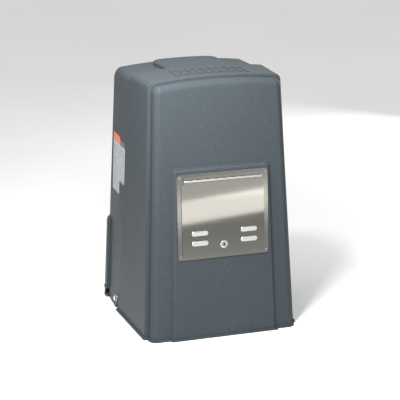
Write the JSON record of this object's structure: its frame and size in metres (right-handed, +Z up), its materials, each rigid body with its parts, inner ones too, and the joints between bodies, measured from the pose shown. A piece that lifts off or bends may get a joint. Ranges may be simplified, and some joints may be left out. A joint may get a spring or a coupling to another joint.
{
  "type": "gate and garage door operator",
  "caption": "Floor-standing chain drive operator: moulded grey hood with a key-locked stainless access door over a worm gear motor, limit switches and control box.",
  "frame": {"origin": "centre of the anchor slot pattern, on the underside of the base plate", "axes": "+Z up, the access door faces -Y, the chain runs along X behind the machine"},
  "size_m": [0.4412, 0.4855, 0.7045],
  "materials": {
    "hood_plastic": "fine grain, semi-matte",
    "label_stock": "satin print",
    "stainless": "brushed",
    "gasket_rubber": "matte",
    "bright_steel": "bright plated",
    "zinc_steel": "zinc plated",
    "painted_frame": "semi-gloss paint",
    "gearbox_paint": "enamel paint",
    "machined_steel": "machined, oiled",
    "bronze": "machined bronze",
    "motor_paint": "black enamel",
    "laminations": "laminated steel",
    "black_plastic": "moulded",
    "white_plastic": "moulded",
    "red_plastic": "moulded",
    "box_paint": "powder coat",
    "board_green": "solder mask",
    "relay_blue": "moulded",
    "capacitor_metal": "drawn can",
    "transformer_core": "laminated steel"
  },
  "bodies": {
    "chassis": {"base_plate": "painted_frame", "cover_bolts": "bright_steel", "gearbox_housing": "gearbox_paint", "gearbox_cover": "gearbox_paint", "gearbox_screws": "zinc_steel", "gearbox_foot_bolts": "zinc_steel", "output_bearings": "machined_steel", "worm_bearing": "machined_steel", "motor_casing": "motor_paint", "motor_screws": "zinc_steel", "stator": "laminations", "motor_end_bell": "motor_paint", "fan_cowl": "motor_paint", "run_capacitor": "capacitor_metal", "capacitor_clamp": "zinc_steel", "idler_brackets": "painted_frame", "idler_axles": "zinc_steel", "limit_bracket": "zinc_steel", "nut_guide": "zinc_steel", "limit_switches": "black_plastic", "chassis_panel": "painted_frame", "control_box": "box_paint", "circuit_board": "board_green", "board_standoffs": "zinc_steel", "relays": "relay_blue", "transformer": "transformer_core", "terminal_strip": "black_plastic", "switch_plate": "box_paint", "service_outlet": "white_plastic"},
    "hood": {"cover": "hood_plastic", "front_label": "label_stock", "rear_label": "label_stock", "frame_gasket": "gasket_rubber", "door_frame": "stainless", "hinge_pin": "stainless", "frame_rivets": "bright_steel"},
    "door": {"access_door": "stainless", "lock_housing": "bright_steel", "lock_nut": "zinc_steel"},
    "lock": {"lock_cylinder": "bright_steel", "lock_cam": "zinc_steel", "cam_screw": "zinc_steel"},
    "motor_drive": {"motor_shaft": "machined_steel", "worm": "machined_steel", "rotor_core": "laminations", "cooling_fan": "black_plastic"},
    "output_drive": {"output_shaft": "machined_steel", "worm_wheel": "bronze", "drive_sprocket": "machined_steel", "limit_drive_gear": "machined_steel"},
    "limit_screw": {"limit_shaft": "machined_steel", "limit_gear": "machined_steel"},
    "open_nut": {"open_limit_nut": "white_plastic"},
    "close_nut": {"close_limit_nut": "white_plastic"},
    "idler_left": {"left_idler": "black_plastic"},
    "idler_right": {"right_idler": "black_plastic"},
    "open_lever": {"open_switch_lever": "zinc_steel"},
    "close_lever": {"close_switch_lever": "zinc_steel"},
    "rocker": {"power_rocker": "red_plastic"},
    "button": {"reset_button": "red_plastic"}
  },
  "joints": [
    {"name": "hood_lift", "type": "slide", "parent": "chassis", "child": "hood", "axis": [0, 0, 1], "range_m": [0, 0.75]},
    {"name": "door_hinge", "type": "hinge", "parent": "hood", "child": "door", "pos_m": [0, -0.21817, 0.43362], "axis": [-1, 0, 0], "range_deg": [0, 150]},
    {"name": "lock_turn", "type": "hinge", "parent": "door", "child": "lock", "pos_m": [0, -0.22781, 0.25607], "axis": [0, 0.9977, -0.0671], "range_deg": [0, 90]},
    {"name": "motor_spin", "type": "hinge", "parent": "chassis", "child": "motor_drive", "pos_m": [-0.048, 0.125, 0.2], "axis": [0, 0, 1], "range_deg": [-69120, 69120]},
    {"name": "output_spin", "type": "hinge", "parent": "chassis", "child": "output_drive", "pos_m": [0, 0.125, 0.11], "axis": [0, 1, 0], "range_deg": [-3456, 3456]},
    {"name": "limit_spin", "type": "hinge", "parent": "chassis", "child": "limit_screw", "pos_m": [0.048, -0.03, 0.11], "axis": [0, 1, 0], "range_deg": [-3456, 3456]},
    {"name": "open_nut_travel", "type": "slide", "parent": "chassis", "child": "open_nut", "axis": [0, 1, 0], "range_m": [-0.024, 0.024]},
    {"name": "close_nut_travel", "type": "slide", "parent": "chassis", "child": "close_nut", "axis": [0, 1, 0], "range_m": [-0.024, 0.024]},
    {"name": "left_idler_spin", "type": "hinge", "parent": "chassis", "child": "idler_left", "pos_m": [-0.095, 0.186, 0.046], "axis": [0, 1, 0], "continuous": true},
    {"name": "right_idler_spin", "type": "hinge", "parent": "chassis", "child": "idler_right", "pos_m": [0.095, 0.186, 0.046], "axis": [0, 1, 0], "continuous": true},
    {"name": "open_lever_press", "type": "hinge", "parent": "chassis", "child": "open_lever", "pos_m": [0.08, 0.0389, 0.109], "axis": [0, 0, -1], "range_deg": [0, 6], "stiffness_Nm_per_rad": 0.05},
    {"name": "close_lever_press", "type": "hinge", "parent": "chassis", "child": "close_lever", "pos_m": [0.08, -0.1079, 0.109], "axis": [0, 0, 1], "range_deg": [0, 6], "stiffness_Nm_per_rad": 0.05},
    {"name": "rocker_tilt", "type": "hinge", "parent": "chassis", "child": "rocker", "pos_m": [-0.062, -0.181, 0.226], "axis": [1, 0, 0], "range_deg": [-9, 9]},
    {"name": "button_press", "type": "slide", "parent": "chassis", "child": "button", "axis": [0, 1, 0], "range_m": [0, 0.003], "stiffness_N_per_m": 200, "springref_m": -0.002}
  ],
  "couplings": [
    {"joint": "output_spin", "follows": "motor_spin", "ratio": -0.05},
    {"joint": "limit_spin", "follows": "motor_spin", "ratio": 0.05},
    {"joint": "open_nut_travel", "follows": "motor_spin", "m_per_rad": -0.000019894},
    {"joint": "close_nut_travel", "follows": "motor_spin", "m_per_rad": -0.000019894}
  ]
}
